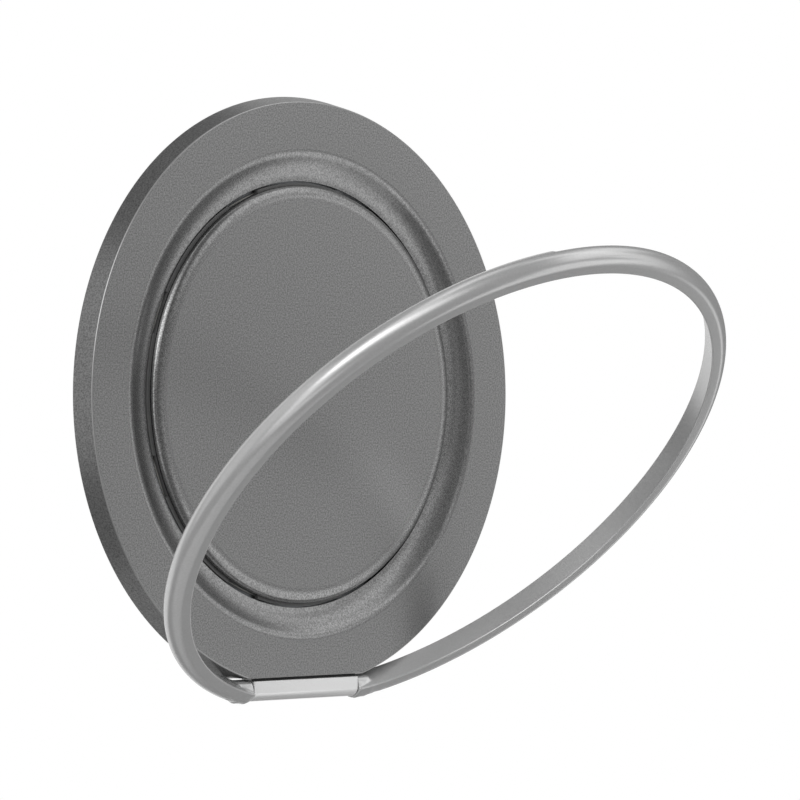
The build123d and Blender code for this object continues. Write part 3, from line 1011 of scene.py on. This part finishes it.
def light_tent():
    """Sphere round the stage that glows dimly all over and more in its soft panels.

    A panel is the product of a soft step of the azimuth and one of the elevation about its middle."""
    up, around = np.meshgrid(np.linspace(-pi / 2, pi / 2, 25), full_turn(48))
    level = np.cos(up)
    ball = np.stack((np.sin(around) * level, -np.cos(around) * level, np.sin(up)), axis=-1)
    tent = skin("tent", TENT_RADIUS * ball, True, False)
    cloth, nodes, links, shader, place = new_material("Tent")
    nodes.remove(shader)
    unit = nodes.new("ShaderNodeVectorMath")
    unit.operation = "NORMALIZE"
    links.new(place, unit.inputs[0])
    parts = nodes.new("ShaderNodeSeparateXYZ")
    links.new(unit.outputs["Vector"], parts.inputs[0])
    forward = math_node(nodes, links, "MULTIPLY", parts.outputs["Y"], -1.0)
    azimuth = math_node(nodes, links, "ARCTAN2", parts.outputs["X"], forward)
    azimuth = math_node(nodes, links, "DEGREES", azimuth)
    elevation = math_node(nodes, links, "ARCSINE", parts.outputs["Z"])
    elevation = math_node(nodes, links, "DEGREES", elevation)
    radiance = TENT_GLOW
    for middle, height, half_width, half_height, soft, power in TENT_PANELS.values():
        aside = math_node(nodes, links, "SUBTRACT", azimuth, middle)
        aside = math_node(nodes, links, "WRAP", aside, 180, -180)
        aside = math_node(nodes, links, "ABSOLUTE", aside)
        above = math_node(nodes, links, "SUBTRACT", elevation, height)
        above = math_node(nodes, links, "ABSOLUTE", above)
        across_panel = soft_edge(nodes, links, aside, half_width, soft)
        up_panel = soft_edge(nodes, links, above, half_height, soft)
        inside = math_node(nodes, links, "MULTIPLY", across_panel, up_panel)
        radiance = math_node(nodes, links, "MULTIPLY_ADD", inside, power, radiance)
    glow = nodes.new("ShaderNodeEmission")
    links.new(radiance, glow.inputs["Strength"])
    links.new(glow.outputs["Emission"], nodes["Material Output"].inputs["Surface"])
    tent.data.materials.append(cloth)
    tent.visible_camera = False
    return tent


def studio_floor():
    """Pale floor well below the object: matt to the studio and as white as the backdrop to the camera."""
    side = np.array((-FLOOR_HALF, FLOOR_HALF))
    grid = np.stack(np.meshgrid(side, side, (FLOOR_HEIGHT,), indexing="ij"), axis=-1)[:, :, 0]
    floor = skin("floor", grid, False, False)
    pale, nodes, links, shader, _ = new_material("Pale floor")
    shader.inputs["Base Color"].default_value = (*finishes().floor, 1)
    shader.inputs["Roughness"].default_value = 0.9
    white = nodes.new("ShaderNodeEmission")
    white.inputs["Color"].default_value = (*finishes().backdrop, 1)
    path = nodes.new("ShaderNodeLightPath")
    mix = nodes.new("ShaderNodeMixShader")
    links.new(path.outputs["Is Camera Ray"], mix.inputs["Fac"])
    links.new(shader.outputs["BSDF"], mix.inputs[1])
    links.new(white.outputs["Emission"], mix.inputs[2])
    links.new(mix.outputs["Shader"], nodes["Material Output"].inputs["Surface"])
    floor.data.materials.append(pale)
    return floor


class RINGHOLDER_OT_stage(bpy.types.Operator):
    """Camera, floor and studio light"""

    bl_idname = "ring_holder.stage"
    bl_label = "Stage"

    def execute(self, context):
        scene = context.scene
        scene.view_settings.view_transform = "Standard"
        lens = bpy.data.cameras.new("camera")
        lens.sensor_width = 36.0
        lens.lens = CAMERA_LENS
        lens.clip_start = 0.01
        camera = bpy.data.objects.new("camera", lens)
        camera.location = CAMERA_PLACE
        camera.rotation_euler = Euler((radians(CAMERA_TILT), 0, radians(CAMERA_TURN)))
        scene.collection.objects.link(camera)
        scene.camera = camera
        soft_box(
            "key_box", azimuth=-64, elevation=30, width=0.64, height=0.64, radiance=0.9, shape="ELLIPSE"
        )
        soft_box("upper_box", azimuth=45, elevation=44, width=0.24, height=1.0, radiance=0.59)
        soft_box("lower_box", azimuth=38, elevation=-27, width=0.46, height=0.66, radiance=0.58)
        light_tent()
        studio_floor()
        world = bpy.data.worlds.new("backdrop")
        scene.world = world
        world.use_nodes = True
        world.node_tree.nodes["Background"].inputs["Color"].default_value = (*finishes().backdrop, 1)
        return {"FINISHED"}


class RINGHOLDER_PT_panel(bpy.types.Panel):
    """Lists the steps that build the holder"""

    bl_idname = "RINGHOLDER_PT_panel"
    bl_label = "Ring holder"
    bl_space_type = "VIEW_3D"
    bl_region_type = "UI"
    bl_category = "Ring holder"

    def draw(self, context):
        for step in STEPS:
            self.layout.operator(step.bl_idname)


STEPS = (
    RINGHOLDER_OT_base_disc,
    RINGHOLDER_OT_centre_cap,
    RINGHOLDER_OT_swivel_hub,
    RINGHOLDER_OT_hinge_barrel,
    RINGHOLDER_OT_grip_ring,
    RINGHOLDER_OT_rear_discs,
    RINGHOLDER_OT_inner_pieces,
    RINGHOLDER_OT_stage,
)
CLASSES = (HolderSizes, HolderFinishes, *STEPS, RINGHOLDER_PT_panel)


def register():
    """Registers the classes and hangs the properties on the scene."""
    for cls in CLASSES:
        bpy.utils.register_class(cls)
    bpy.types.Scene.ring_holder_sizes = PointerProperty(type=HolderSizes)
    bpy.types.Scene.ring_holder_finishes = PointerProperty(type=HolderFinishes)


def unregister():
    """Takes the properties off the scene and the classes out of Blender."""
    del bpy.types.Scene.ring_holder_finishes
    del bpy.types.Scene.ring_holder_sizes
    for cls in reversed(CLASSES):
        bpy.utils.unregister_class(cls)


def main():
    """Builds every piece and the stage."""
    register()
    bpy.ops.ring_holder.base_disc()
    bpy.ops.ring_holder.centre_cap()
    bpy.ops.ring_holder.swivel_hub()
    bpy.ops.ring_holder.hinge_barrel()
    bpy.ops.ring_holder.grip_ring()
    bpy.ops.ring_holder.rear_discs()
    bpy.ops.ring_holder.inner_pieces()
    bpy.ops.ring_holder.stage()


if __name__ == "__main__":
    main()
